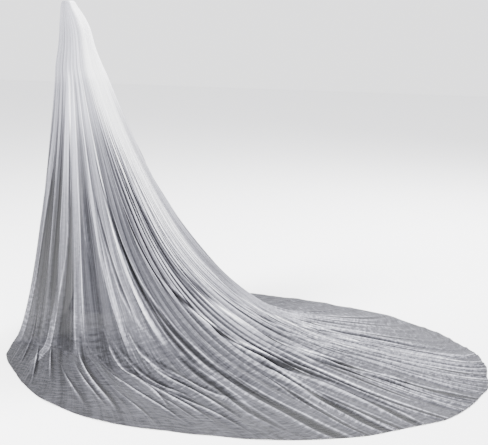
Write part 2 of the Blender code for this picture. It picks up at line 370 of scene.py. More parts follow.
# %% Shift the folds along the floor
# Each shift has a strength, the share and width that it acts on, and the
# stations where it grows
DRAG_TO_BACK = 0.16
DRAG_PLACE = (0.12, 0.26)
DRAG_GROWS = (1.30, 1.70)
DRAG_EASES = (1.72, 2.0)
DRAG_EASED = 0.7
FAN_OUT = 0.10
FAN_PLACE = (-0.30, 0.17)
FAN_GROWS = (1.70, 1.97)
SIDE_DRIFT = 0.055
SIDE_STARTS = 0.4
SIDE_GROWS = (1.60, 1.95)
SHARE_STEP = 0.006


def flow(fold_share, station):
    """The thread that a fold lies on at a station."""
    drag = ease(station, *DRAG_GROWS) * (1 - DRAG_EASED * ease(station, *DRAG_EASES))
    outer = np.clip((np.abs(fold_share) - SIDE_STARTS) / (1 - SIDE_STARTS), 0, 1)
    sides = np.sin(math.pi * outer) ** 2 * np.sign(fold_share)
    return (
        fold_share
        - DRAG_TO_BACK * hump(fold_share, *DRAG_PLACE) * drag
        + FAN_OUT * hump(fold_share, *FAN_PLACE) * ease(station, *FAN_GROWS)
        - SIDE_DRIFT * sides * ease(station, *SIDE_GROWS)
    )


grid_shares = np.linspace(-1, 1, GRID_LINES)
grid_points = at_stations(fall_lines(grid_shares), stations)


def lie_on_form(fold_shares):
    """Points of the smooth form for folds at these shares."""
    result = np.empty((len(fold_shares), ROWS, 3))
    for row, station in enumerate(stations):
        wanted = np.clip(flow(fold_shares, station), -1, 1)
        for axis in range(3):
            result[:, row, axis] = np.interp(wanted, grid_shares, grid_points[:, row, axis])
    return result


base = lie_on_form(shares)
before = np.maximum(shares - SHARE_STEP, -1)
after = np.minimum(shares + SHARE_STEP, 1)
across = (lie_on_form(after) - lie_on_form(before)) / (after - before)[:, None, None]
down = np.gradient(base, axis=1)
outward = unit(np.cross(across, down))
half_fold = np.linalg.norm(across, axis=2) * fold_width[fold_index][:, None] / 2
print("half a fold is %.1f to %.1f mm wide" % (1000 * half_fold.min(), 1000 * half_fold.max()))

# %% [markdown]
# ## Shape of the folds
# A hanging fold is a pleat: a rounded flat ridge, a hollow beside it and a flank
# that leans over. On the floor its ridge gets narrow and lower towards the hem.
# Each main fold carries smaller pleats that come and go along its length.
# They are waves whose strength changes slowly, with a fixed seed.

# %% Heights of the main folds
SIDE_FOLDS_START = (0.30, 0.44)
SWAY = 0.10
CRISP_FLANK = (0.15, 0.85)
FLOOR_NARROWING = 1.6
LEAN = 0.5
# A fold leans to the left where its draw is above this, and else to the right
LEAN_DRAW = -0.3

ratio = read_table(FOLD_DEPTH[:, 0], FOLD_DEPTH[:, 1], stations)[None, :]
inwards = read_table(FOLD_DEPTH[:, 0], FOLD_DEPTH[:, 2], stations)[None, :]
floor_share = np.clip((stations - FLOOR_STATION) / FLOOR_BLEND, 0, 1)[None, :]
keep = 1 + (all_folds[fold_index, 2][:, None] - 1) * floor_share
depth = ratio * all_folds[fold_index, 1][:, None] * keep * half_fold
side_depth = by_station(
    {0.8: 1.0, 1.1: 0.50, 1.38: 0.50, 1.54: 0.42, 1.64: 0.30, 1.76: 0.45, 2.0: 0.6}
)
depth = depth * (1 + (side_depth - 1) * ease(np.abs(shares), *SIDE_FOLDS_START)[:, None])

sway = per_column(slow_noise(len(all_folds), knots=7, seed=11)) * SWAY
phase = turn[:, None] + sway * np.sin(math.pi * turn)[:, None]
wave = (1 - np.cos(2 * math.pi * phase)) / 2
crisp = by_station({0.5: 0.0, 1.2: 0.8, 1.66: 0.8, 1.8: 0.0})
wave = wave * (1 - crisp) + ease(wave, *CRISP_FLANK) * crisp
wave = wave ** (1 + FLOOR_NARROWING * floor_share)
lean_draws = np.random.default_rng(5).uniform(-1, 1, (len(all_folds), 1))
lean_way = np.where(lean_draws > LEAN_DRAW, 1.0, -1.0)
lean = per_column(lean_way * np.ones(ROWS)) * LEAN
lean = lean * by_station({0.3: 0.0, 1.0: 0.8, 1.5: 0.9, 1.7: 0.0})
print("folds stand out up to %.0f mm" % (1000 * depth.max()))

# %% [markdown]
# ## Panels that hang at the sides
# At the sides the net hangs in flat panels. Where a fold doubles it over, the
# panel is paler and stands a little proud, with a thin painted highlight along
# its edge; between two such panels the net is single and darker. The seen side
# has one row for each panel in the photograph, and the other side has rows of
# the same sorts.

# %% Table of panels
# Rows with a negative strength are single net.
# share at start, middle and end, first and last station, half width at top and foot, strength
PANELS = [
    (0.900, 0.980, 0.984, 1.05, 1.88, 0.030, 0.018, 0.9),
    (0.846, 0.868, 0.872, 0.95, 1.60, 0.016, 0.008, 0.8),
    (0.748, 0.772, 0.878, 0.90, 1.92, 0.038, 0.006, 0.9),
    (0.698, 0.685, 0.684, 0.85, 1.68, 0.046, 0.018, 0.85),
    (0.550, 0.530, 0.510, 0.90, 1.64, 0.048, 0.034, 0.22),
    (0.602, 0.574, 0.548, 1.05, 1.68, 0.007, 0.005, 0.8),
    (0.492, 0.487, 0.470, 1.05, 1.64, 0.007, 0.005, 0.8),
    (0.545, 0.520, 0.472, 1.38, 1.62, 0.004, 0.003, 1.0),
    (0.638, 0.636, 0.622, 1.10, 1.46, 0.005, 0.003, 0.6),
    (0.655, 0.618, 0.608, 1.05, 1.72, 0.010, 0.050, -0.6),
    (0.880, 0.915, 0.925, 1.10, 1.70, 0.014, 0.040, -1.0),
    (0.800, 0.816, 0.812, 1.05, 1.66, 0.014, 0.034, -1.0),
    (0.726, 0.724, 0.748, 1.02, 1.72, 0.005, 0.034, -1.4),
    (-0.930, -0.975, -0.980, 1.05, 1.88, 0.026, 0.018, 0.9),
    (-0.860, -0.850, -0.880, 0.95, 1.86, 0.022, 0.008, 0.8),
    (-0.760, -0.775, -0.790, 0.90, 1.70, 0.034, 0.012, 1.0),
    (-0.660, -0.670, -0.650, 0.85, 1.66, 0.030, 0.012, 0.9),
    (-0.560, -0.545, -0.540, 0.90, 1.64, 0.040, 0.030, 0.5),
    (-0.590, -0.580, -0.570, 1.05, 1.66, 0.006, 0.004, 0.8),
    (-0.610, -0.615, -0.600, 1.05, 1.70, 0.010, 0.026, -1.0),
    (-0.715, -0.720, -0.715, 1.05, 1.70, 0.012, 0.030, -1.0),
    (-0.815, -0.820, -0.830, 1.10, 1.68, 0.014, 0.026, -1.0),
    (-0.900, -0.915, -0.925, 1.10, 1.70, 0.014, 0.030, -1.0),
]
PANEL_RISE = 0.006
PANEL_LEAD = 0.05
PANEL_GROWS = 0.30
PANEL_RIM = (0.92, 1.08)
PANEL_EDGE = (1.0, 0.14)
PANEL_CALM = 0.8
SOFT_END = 0.12


def follow(row):
    """A row's share at each station, and how far along it each station is."""
    start, middle, end, first, last = row[:5]
    part = np.clip((stations - first) / (last - first), 0, 1)
    line = (
        start * (1 - part) * (1 - 2 * part)
        + 4 * middle * part * (1 - part)
        + end * part * (2 * part - 1)
    )
    return line, part


panel_shade = np.zeros((columns, ROWS))
panel_cover = np.zeros((columns, ROWS))
panel_edge = np.zeros((columns, ROWS))
for row in PANELS:
    first, last, top_half, foot_half, strength = row[3:]
    line, part = follow(row)
    half_width = top_half + (foot_half - top_half) * part
    away = np.abs(shares[:, None] - line[None, :]) / half_width[None, :]
    taper = between(stations, first - PANEL_LEAD, first + PANEL_GROWS, last - SOFT_END, last)
    flat = (1 - ease(away, *PANEL_RIM)) * taper
    panel_shade = panel_shade + strength * flat
    panel_cover = np.maximum(panel_cover, max(strength, 0) * flat)
    if strength > 0:
        panel_edge = np.maximum(panel_edge, hump(away, *PANEL_EDGE) * taper)
panel_shade = np.clip(panel_shade, -1, 1)
calm = 1 - PANEL_CALM * panel_cover
print(len(PANELS), "hanging panels")

# %% [markdown]
# ## Smaller pleats and the slimmer back
# A few smaller pleats ride on each main fold, more on a broad one. A panel
# pulls them flat. The folds at the lower back are drawn in a little, where the
# photograph's outline is slimmer than the solids.

# %% Heights of the smaller pleats
PLEATS_BY_TURNS = [2, 3, 2, 3, 2, 2, 3]
BROAD_FOLD = 1.4
BROAD_FOLD_EXTRA = 3
PLEAT_SWAY = 0.3
PLEAT_DEPTH = 0.5
FOLD_UNDER_PANEL = 0.35
SLIM_BACK = 0.016
SLIM_SHARE = (-0.18, 0.22)
SLIM_STATION = (1.27, 0.17)

pleat_count = np.resize(PLEATS_BY_TURNS, len(all_folds))
pleat_count = np.where(all_folds[:, 0] > BROAD_FOLD, pleat_count + BROAD_FOLD_EXTRA, pleat_count)
pleats_here = pleat_count[fold_index][:, None]
pleat_noise = per_column(slow_noise(len(all_folds), knots=6, seed=3))
pleat_strength = np.clip(0.35 + 0.65 * pleat_noise, 0, 1)
pleat_shift = PLEAT_SWAY * per_column(slow_noise(len(all_folds), knots=5, seed=8))
pleat_turn = turn[:, None] * pleats_here + pleat_shift
pleat_wave = (1 - np.cos(2 * math.pi * pleat_turn)) / 2 * np.sin(math.pi * turn)[:, None] ** 0.5
pleat_depth = PLEAT_DEPTH * half_fold / pleats_here
pleat_depth = pleat_depth * by_station({0: 0, 0.3: 0.6, 1.0: 0.9, 1.6: 1.0, 1.8: 0.5, 2.0: 0.15})
fold_left = FOLD_UNDER_PANEL + (1 - FOLD_UNDER_PANEL) * calm
slimmer = hump(shares, *SLIM_SHARE)[:, None] * hump(stations, *SLIM_STATION)[None, :]
height = depth * (wave - inwards) * fold_left + pleat_depth * pleat_wave * pleat_strength * calm
height = height + PANEL_RISE * panel_shade - SLIM_BACK * slimmer
print("%d small pleats, %.1f mm high at most" % (pleat_count.sum(), 1000 * pleat_depth.max()))

# %% [markdown]
# ## Furrows and creases
# The eye follows the deep furrows that run from the hanging folds out over the
# train, and the thin ridges where the net creases on the floor. Each is one row
# of a table: it follows the folds, drifts a little, starts and ends softly, and
# has its own width and depth. The right side, which hangs away from the camera,
# gets its own rows of the same sorts.

# %% Table of furrows
# Each furrow is a groove with painted shade along its core and painted highlights on its lip and
# beside it
# share at start, middle and end, first and last station, half width, strength
FURROWS = [
    (0.300, 0.280, 0.285, 1.10, 1.50, 0.008, 0.9),
    (0.241, 0.190, 0.112, 1.38, 2.06, 0.008, 1.0),
    (0.392, 0.303, 0.328, 1.40, 2.06, 0.008, 1.0),
    (0.225, 0.230, 0.225, 1.60, 1.97, 0.005, 0.7),
    (0.262, 0.270, 0.248, 1.62, 2.08, 0.006, 1.0),
    (0.330, 0.360, 0.370, 1.62, 2.08, 0.007, 1.0),
    (0.430, 0.430, 0.427, 1.62, 2.08, 0.008, 1.0),
    (0.365, 0.392, 0.398, 1.66, 2.06, 0.004, 0.8),
    (0.292, 0.286, 0.290, 1.54, 1.98, 0.005, 0.8),
    (0.455, 0.468, 0.462, 1.68, 1.99, 0.005, 0.7),
    (0.345, 0.345, 0.348, 1.72, 2.08, 0.005, 0.8),
    (0.510, 0.455, 0.430, 1.16, 1.80, 0.006, 0.7),
    (0.482, 0.462, 0.455, 1.22, 1.70, 0.004, 0.8),
    (0.476, 0.462, 0.485, 1.58, 1.90, 0.005, 0.7),
    (0.355, 0.350, 0.345, 1.14, 1.42, 0.005, 0.7),
    (0.415, 0.400, 0.385, 1.20, 1.52, 0.004, 0.8),
    (0.560, 0.530, 0.505, 1.24, 1.58, 0.005, 0.6),
    (0.342, 0.336, 0.328, 1.02, 1.40, 0.0028, 0.9),
    (0.316, 0.308, 0.300, 1.06, 1.46, 0.0025, 0.8),
    (0.284, 0.277, 0.270, 1.08, 1.42, 0.0028, 0.9),
    (0.252, 0.246, 0.238, 1.06, 1.48, 0.0025, 0.8),
    (0.228, 0.222, 0.214, 1.12, 1.44, 0.0028, 0.9),
    (0.192, 0.187, 0.180, 1.10, 1.50, 0.0025, 0.8),
    (0.158, 0.152, 0.146, 1.16, 1.46, 0.0025, 0.7),
    (0.385, 0.378, 0.372, 1.16, 1.42, 0.003, 0.8),
    (0.330, 0.322, 0.312, 1.12, 1.52, 0.004, 0.7),
    (0.268, 0.262, 0.250, 1.20, 1.60, 0.004, 0.7),
    (0.212, 0.206, 0.196, 1.22, 1.60, 0.003, 0.7),
    (0.215, 0.205, 0.200, 1.66, 2.08, 0.005, 0.9),
    (0.195, 0.180, 0.165, 1.74, 2.08, 0.005, 0.9),
    (0.172, 0.152, 0.140, 1.84, 2.08, 0.005, 0.8),
    (0.112, 0.035, -0.010, 1.46, 2.08, 0.008, 1.0),
    (0.130, 0.080, 0.062, 1.48, 2.08, 0.005, 0.9),
    (0.170, 0.160, 0.150, 1.30, 1.72, 0.005, 0.7),
    (0.100, 0.094, 0.090, 1.68, 2.08, 0.005, 0.9),
    (0.055, 0.062, 0.070, 1.24, 1.58, 0.005, 0.7),
    (0.060, 0.040, 0.028, 1.72, 2.08, 0.005, 0.8),
    (0.040, -0.010, -0.035, 1.44, 2.06, 0.005, 0.8),
    (0.020, -0.020, -0.060, 1.40, 2.08, 0.009, 1.0),
    (-0.010, -0.056, -0.085, 1.46, 2.06, 0.005, 0.8),
    (-0.050, -0.090, -0.110, 1.50, 2.08, 0.011, 1.0),
    (-0.070, -0.120, -0.135, 1.52, 1.99, 0.005, 0.8),
    (-0.090, -0.150, -0.160, 1.54, 2.06, 0.011, 1.0),
    (-0.110, -0.175, -0.185, 1.55, 2.08, 0.005, 0.8),
    (-0.130, -0.200, -0.210, 1.56, 2.08, 0.013, 1.0),
    (-0.165, -0.228, -0.235, 1.57, 2.00, 0.005, 0.8),
    (-0.200, -0.255, -0.262, 1.58, 2.00, 0.011, 1.0),
    (-0.230, -0.282, -0.285, 1.59, 2.08, 0.006, 0.8),
    (-0.260, -0.312, -0.318, 1.60, 1.93, 0.012, 1.0),
    (-0.300, -0.340, -0.338, 1.60, 1.99, 0.006, 0.7),
    (-0.340, -0.372, -0.374, 1.60, 1.94, 0.011, 1.0),
    (-0.420, -0.432, -0.430, 1.60, 1.90, 0.012, 1.0),
    (-0.465, -0.460, -0.445, 1.62, 1.98, 0.007, 0.8),
    (-0.500, -0.490, -0.476, 1.62, 2.01, 0.008, 0.8),
    (-0.580, -0.554, -0.530, 1.64, 1.95, 0.008, 0.9),
    (-0.320, -0.290, -0.280, 1.12, 1.56, 0.009, 0.8),
    (-0.410, -0.385, -0.360, 1.22, 1.60, 0.008, 0.8),
    (-0.500, -0.470, -0.440, 1.18, 1.62, 0.010, 1.0),
    (-0.180, -0.170, -0.160, 1.26, 1.52, 0.005, 0.5),
]
# The same columns for thin raised creases on the floor near the sides; each has a painted highlight
# on its ridge and painted shade in a hollow beside it
CREASES = [
    (0.672, 0.628, 0.604, 1.60, 1.73, 0.0035, 0.9),
    (0.692, 0.694, 0.690, 1.60, 1.96, 0.005, 1.0),
    (0.620, 0.577, 0.604, 1.56, 1.90, 0.004, 1.0),
    (0.555, 0.516, 0.481, 1.54, 1.76, 0.004, 1.0),
    (0.600, 0.545, 0.520, 1.57, 1.84, 0.0035, 0.8),
    (0.576, 0.574, 0.564, 1.74, 1.95, 0.004, 0.8),
    (0.530, 0.505, 0.500, 1.60, 1.92, 0.004, 0.9),
    (0.640, 0.612, 0.590, 1.66, 1.97, 0.004, 1.0),
    (0.588, 0.556, 0.542, 1.62, 1.94, 0.0045, 1.0),
    (0.568, 0.532, 0.514, 1.68, 1.98, 0.004, 0.9),
    (0.538, 0.488, 0.466, 1.58, 1.84, 0.004, 0.9),
    (0.720, 0.712, 0.700, 1.72, 1.95, 0.004, 0.9),
    (0.664, 0.654, 0.642, 1.80, 1.99, 0.0035, 0.8),
    (0.766, 0.746, 0.728, 1.76, 1.97, 0.004, 0.9),
    (0.812, 0.800, 0.790, 1.68, 1.92, 0.004, 0.9),
    (0.870, 0.852, 0.834, 1.74, 1.98, 0.004, 0.9),
    (0.930, 0.915, 0.905, 1.66, 1.95, 0.004, 0.6),
    (-0.680, -0.650, -0.625, 1.60, 1.90, 0.004, 1.0),
    (-0.745, -0.720, -0.700, 1.64, 1.94, 0.004, 0.9),
    (-0.800, -0.790, -0.780, 1.62, 1.92, 0.004, 0.8),
    (-0.875, -0.850, -0.840, 1.68, 1.97, 0.004, 0.9),
    (-0.600, -0.570, -0.560, 1.58, 1.86, 0.004, 0.9),
    (-0.535, -0.520, -0.510, 1.62, 1.90, 0.004, 0.8),
]
FURROW_DEPTH = 0.008
CREASE_HEIGHT = 0.011
FURROW_GROWS = 0.12
FURROW_LEAD = 0.02
NARROWED_END = 0.45
# Places and widths across a line, in its half widths
FURROW_CORE = (0, 0.9)
FURROW_LIP = (1.6, 0.5)
FURROW_GLINT = (-1.5, 0.35)
CREASE_RIDGE = (0, 0.8)
CREASE_HOLLOW = (-2.2, 1.3)
# How strong the painted highlight or painted shade of each part is, against the core of a full
# furrow or crease
PANEL_EDGE_HIGHLIGHT = 0.55
LIP_HIGHLIGHT = 0.6
GLINT_PALE = 0.8
HOLLOW_SHADE = 0.8
HOLLOW_DEPTH = 0.3


def stroke(row):
    """How far each point is from a row's line, in half widths, and its strength there."""
    first, last, half_width, strength = row[3:]
    line, _ = follow(row)
    taper = between(stations, first - FURROW_LEAD, first + FURROW_GROWS, last - SOFT_END, last)
    narrow = half_width * (NARROWED_END + (1 - NARROWED_END) * taper)
    return (shares[:, None] - line[None, :]) / narrow[None, :], strength * taper[None, :]


# Painted shade along furrow cores and crease hollows
shade_lines = np.zeros((columns, ROWS))
# Painted highlights: panel edges, furrow lips and glints, crease ridges and fold flanks
highlight_lines = PANEL_EDGE_HIGHLIGHT * panel_edge
for row in FURROWS:
    away, strength = stroke(row)
    core = hump(away, *FURROW_CORE) * strength
    lip = hump(away, *FURROW_LIP) * strength
    glint = hump(away, *FURROW_GLINT) * strength
    height = height - FURROW_DEPTH * core + FURROW_DEPTH * lip
    shade_lines = np.maximum(shade_lines, core)
    highlight_lines = np.maximum(highlight_lines, np.maximum(LIP_HIGHLIGHT * lip, GLINT_PALE * glint))
for row in CREASES:
    away, strength = stroke(row)
    ridge = hump(away, *CREASE_RIDGE) * strength
    hollow = hump(away, *CREASE_HOLLOW) * strength
    height = height + CREASE_HEIGHT * ridge - HOLLOW_DEPTH * CREASE_HEIGHT * hollow
    highlight_lines = np.maximum(highlight_lines, ridge)
    shade_lines = np.maximum(shade_lines, HOLLOW_SHADE * hollow)
print(len(FURROWS), "furrows and", len(CREASES), "creases")

# %% The folded sheet
sheet = base + outward * height[:, :, None] + unit(across) * (lean * depth * wave)[:, :, None]
print("the sheet stands out from %.0f to %.0f mm" % (1000 * height.min(), 1000 * height.max()))

# %% [markdown]
# ## How pale the net looks
# One layer of soft nylon net is grey and see-through, and it turns whiter as
# more of it lies over itself: in the tight gathers at the top and back, and
# where a fold doubles. The white net is also painted darker lower down, as
# painted shade. So each point gets a number for how much net lies there and
# how much painted shade falls on it, and the material below turns that
# number into colour.

# %% Layers of net and painted shade at each point
# station, layers of net with painted shade at the gathered back, at the sides and at the front
# edges
LAYERS_AND_SHADE = np.array([
    (0.00, 0.94, 0.74, 0.64),
    (0.95, 0.96, 0.74, 0.60),
    (1.06, 0.92, 0.66, 0.54),
    (1.16, 0.88, 0.52, 0.44),
    (1.30, 0.79, 0.46, 0.31),
    (1.45, 0.63, 0.46, 0.26),
    (1.60, 0.52, 0.43, 0.29),
    (1.75, 0.48, 0.39, 0.31),
    (1.90, 0.44, 0.36, 0.30),
    (2.00, 0.39, 0.32, 0.27),
])
# Shares between which the gathered back ends: as a rule, and what is added to
# them where the right side hangs, where it lies, and where the left side hangs.
# Where the right side lies, the pale back reaches further out as painted light.
BACK_STARTS_TO_END = (0.26, -0.04, 0.40, -0.18)
BACK_HAS_ENDED = (0.46, -0.10, 0.54, -0.06)
FRONT_GROWS = (0.50, 0.85)

on_right = shares[:, None] < 0
on_left = shares[:, None] > 0
far_floor = ease(stations, 1.45, 1.65)[None, :] * on_right
far_hang = (1 - ease(stations, 1.35, 1.50))[None, :] * on_right
near_hang = between(stations, 1.04, 1.22, 1.42, 1.58)[None, :] * on_left


def back_limit(usual, for_far_hang, for_far_floor, for_near_hang):
    """The share of one limit of the gathered back at each point."""
    return (
        usual + for_far_hang * far_hang + for_far_floor * far_floor + for_near_hang * near_hang
    )


side = np.abs(shares)[:, None]
near_back = 1 - ease(side, back_limit(*BACK_STARTS_TO_END), back_limit(*BACK_HAS_ENDED))
near_front = ease(side, *FRONT_GROWS)
back_layers_and_shade, middle_layers_and_shade, front_layers_and_shade = (
    np.interp(stations, LAYERS_AND_SHADE[:, 0], LAYERS_AND_SHADE[:, column])[None, :] for column in (1, 2, 3)
)
beside_back = middle_layers_and_shade * (1 - near_front) + front_layers_and_shade * near_front
layers_and_shade = back_layers_and_shade * near_back + (1 - near_back) * beside_back
print("layers by area from %.2f to %.2f" % (layers_and_shade.min(), layers_and_shade.max()))

# %% Tones of folds, panels and lines, with painted highlights and painted shade
# Layers of net, painted highlight or painted shade that each of these adds or takes away
RIDGE_LIGHT_AND_SHADE = 0.36
PLEAT_LIGHT_AND_SHADE = 0.10
PANEL_TONE = 0.22
GAP_TONE = 0.12
FAR_FLOOR_LIGHT = 0.04
SINGLE_BACK_TONE = 0.15
FLANK_HIGHLIGHT = 0.45
HIGHLIGHT_TONE = 0.40
SHADE_SHARE = 0.82

ridge_share = by_station({0.6: 0.0, 1.15: 0.6, 1.35: 1.0, 1.65: 1.0, 1.75: 0.5, 1.85: 0.15})
ridge_share = ridge_share * (1 - 0.85 * ease(side, 0.33, 0.43)) * (1 - 0.6 * near_back)
ridge = ease(wave, 0.45, 0.55) - 0.45
pleat_shade = ease(pleat_wave, 0.4, 0.6) - 0.5
# A thin painted highlight along one flank of each fold
flank_highlight = hump(wave, 0.5, 0.10) * (np.mod(phase, 1.0) < 0.5)
threads_fine = slow_noise(columns, knots=12, seed=31)
threads_fine = threads_fine * by_station({0.1: 0.02, 0.6: 0.06, 1.2: 0.10, 1.6: 0.08, 2.0: 0.04})
single_back = (1 - ease(shares, -0.05, 0.02))[:, None]
single_back = single_back * between(stations, 0.95, 1.10, 1.40, 1.55)[None, :]

# Fold crests are paler and hollows darker, partly for doubled net and partly as painted highlight
# and painted shade; the small pleats the same
layers_and_shade = layers_and_shade + RIDGE_LIGHT_AND_SHADE * ridge * ridge_share * calm
layers_and_shade = layers_and_shade + PLEAT_LIGHT_AND_SHADE * pleat_shade * pleat_strength * ridge_share * calm
layers_and_shade = layers_and_shade + panel_shade * np.where(panel_shade > 0, PANEL_TONE, GAP_TONE)
layers_and_shade = layers_and_shade + threads_fine * calm
# A single layer at the back is greyer, and the far lying train is made a little paler as painted
# light
layers_and_shade = layers_and_shade - SINGLE_BACK_TONE * single_back + FAR_FLOOR_LIGHT * far_floor
highlight_lines = np.maximum(highlight_lines, FLANK_HIGHLIGHT * flank_highlight * ridge_share)
# Painted shade darkens the furrows and crease hollows, and painted highlights lighten the lines
layers_and_shade = layers_and_shade * (1 - SHADE_SHARE * shade_lines) + HIGHLIGHT_TONE * highlight_lines
layers_and_shade = np.clip(layers_and_shade, 0.0, 1.0)
crinkled = by_station({0.9: 0.0, 1.2: 0.10, 1.5: 0.25, 1.66: 1.0, 2.0: 1.0})
print("layers from %.2f to %.2f" % (layers_and_shade.min(), layers_and_shade.max()))


# %% Finished points, normals and lengths along the cloth
HEM_WAVE = 0.007
HEM_KNOTS = 61
HEM_STARTS = (1.88, 2.0)
CORNER_ROUND = 0.045
CORNER_SHARE = 0.045
LEAST_CLEAR = 0.0006

hem_draws = np.random.default_rng(21).uniform(-1, 1, HEM_KNOTS)
hem_wave = np.interp(shares, np.linspace(-1, 1, HEM_KNOTS), hem_draws)
corner = np.clip((np.abs(shares) - 1 + CORNER_SHARE) / CORNER_SHARE, 0, 1) ** 2
hem_shift = (HEM_WAVE * hem_wave - CORNER_ROUND * corner)[:, None]
hem_shift = hem_shift * ease(stations, *HEM_STARTS)[None, :]
sheet = sheet + unit(down) * hem_shift[:, :, None]
sheet[:, :, 2] = np.maximum(sheet[:, :, 2], -FLOOR_DROP + LEAST_CLEAR)
sheet_normal = unit(np.cross(np.gradient(sheet, axis=0), np.gradient(sheet, axis=1)))
step_down = np.linalg.norm(np.diff(sheet, axis=1), axis=2)
along_cloth = np.concatenate([np.zeros((columns, 1)), np.cumsum(step_down, axis=1)], axis=1)
step_across = np.linalg.norm(np.diff(sheet, axis=0), axis=2)
long_way = sheet[1:, 1:] - sheet[:-1, :-1]
short_way = sheet[1:, :-1] - sheet[:-1, 1:]
quad_area = np.linalg.norm(np.cross(long_way, short_way), axis=2) / 2
print("cloth on the form %.2f m2, hem %.2f m" % (quad_area.sum(), step_across[:, -1].sum()))

# %% [markdown]
# ## The sheet as meshes
# The veil is one cut piece. It is made as eight meshes that meet point to point,
# because one mesh of 800,000 triangles is awkward to handle. They share the
# normals worked out on the whole sheet, so no seam shows between them.

# %% Make the stretches
# name, folds
STRETCHES = [
    ("veil_right_front", 5),
    ("veil_right_side", 5),
    ("veil_right_back", 8),
    ("train_right", 10),
    ("train_left", 10),
    ("veil_left_back", 9),
    ("veil_left_side", 4),
    ("veil_left_front", 5),
]
CUT_HALF_WIDTH = 1.5

def cloth_mesh(name, first, last):
    """A mesh of the sheet's columns first to last, with its attributes."""
    span = slice(first, last + 1)
    points = sheet[span]
    count, rows = points.shape[:2]
    grid = np.arange(count * rows).reshape(count, rows)
    quads = np.stack(
        [grid[:-1, :-1], grid[1:, :-1], grid[1:, 1:], grid[:-1, 1:]], axis=2
    ).reshape(-1, 4)
    mesh = bpy.data.meshes.new(name)
    mesh.vertices.add(count * rows)
    mesh.vertices.foreach_set("co", points.reshape(-1))
    mesh.loops.add(quads.size)
    mesh.loops.foreach_set("vertex_index", quads.reshape(-1))
    mesh.polygons.add(len(quads))
    mesh.polygons.foreach_set("loop_start", np.arange(0, quads.size, 4))
    mesh.update(calc_edges=True)
    # The tone attribute holds the layers of net together with painted shade and painted highlights
    point_values = {"net_layers_and_shade": layers_and_shade[span], "net_crinkle": np.repeat(crinkled, count, axis=0)}
    for attribute, values in point_values.items():
        data = mesh.attributes.new(attribute, "FLOAT", "POINT").data
        data.foreach_set("value", values.reshape(-1))
    wide = np.repeat(shares[span, None] * CUT_HALF_WIDTH, rows, axis=1)
    pairs = np.stack([wide.reshape(-1), along_cloth[span].reshape(-1)], axis=1)
    uv = mesh.uv_layers.new(name="cloth_metres")
    uv.data.foreach_set("uv", pairs[quads.reshape(-1)].reshape(-1))
    mesh.polygons.foreach_set("use_smooth", np.ones(len(quads), dtype=bool))
    mesh.normals_split_custom_set_from_vertices(sheet_normal[span].reshape(-1, 3))
    return mesh


cloth = {}
folds_done = 0
for node, folds in STRETCHES:
    first = fold_first[folds_done]
    folds_done += folds
    last = fold_first[folds_done]
    piece = add_object(node + "_net", cloth_mesh(node + "_net", first, last))
    cloth[node] = (piece, first, last)
    print(piece.name, len(piece.data.polygons) * 2, "triangles")

# %% [markdown]
# ## Materials
# The helpers come first: one turns a screen colour into the linear colour that
# the shader wants, one sets a node's inputs, and one adds a node.

# %% Helpers for materials
def linear(hex_colour):
    """A colour such as #d0d0d4 as linear RGBA."""
    parts = [int(hex_colour[i:i + 2], 16) / 255 for i in (1, 3, 5)]
    curved = [p / 12.92 if p <= 0.04045 else ((p + 0.055) / 1.055) ** 2.4 for p in parts]
    return (*curved, 1.0)


def set_inputs(tree, node, **inputs):
    """Set a node's inputs, by name or as i0, i1: each is a value or a socket."""
    for key, value in inputs.items():
        by_number = key[0] == "i" and key[1:].isdigit()
        socket = node.inputs[int(key[1:]) if by_number else key.replace("_", " ")]
        if isinstance(value, bpy.types.NodeSocket):
            tree.links.new(value, socket)
        else:
            socket.default_value = value


def add_node(tree, kind, settings=None, **inputs):
    """A node with its settings and inputs."""
    node = tree.nodes.new(kind)
    for key, value in (settings or {}).items():
        setattr(node, key, value)
    set_inputs(tree, node, **inputs)
    return node


def new_material(name):
    """An empty material with its tree and its Principled BSDF."""
    material = bpy.data.materials.new(name)
    material.use_nodes = True
    return material, material.node_tree, material.node_tree.nodes["Principled BSDF"]


print("node helpers ready")


# %% Soft nylon net
# The mesh of the net is finer than a render can show, so the net is drawn by
# its tone alone: streaks along the threads, and crinkles where it lies, whose
# tone is painted light and shade from the same noise as their bump
STREAK_WIDE = 0.020
STREAK_LONG = 1.20
STREAK_TONE = 0.44
CRINKLE_MM = 17.0
CRINKLE_STRETCH = 1.8
CRINKLE_SHADE = 0.64
CRINKLE_HEIGHT = 0.010
FLOOR_CALM = 0.35
THINNEST_ALPHA = 0.975
THICKEST_ALPHA = 0.99
# layers of net and painted shade from none to the most, and the colour for each: the white net is
# painted near black where it lies in the deepest shade
NET_COLOURS_AND_SHADE = [
    (0.0, "#030304"),
    (0.25, "#1b1b1f"),
    (0.5, "#45454b"),
    (0.75, "#94949c"),
    (1.0, "#ffffff"),
]


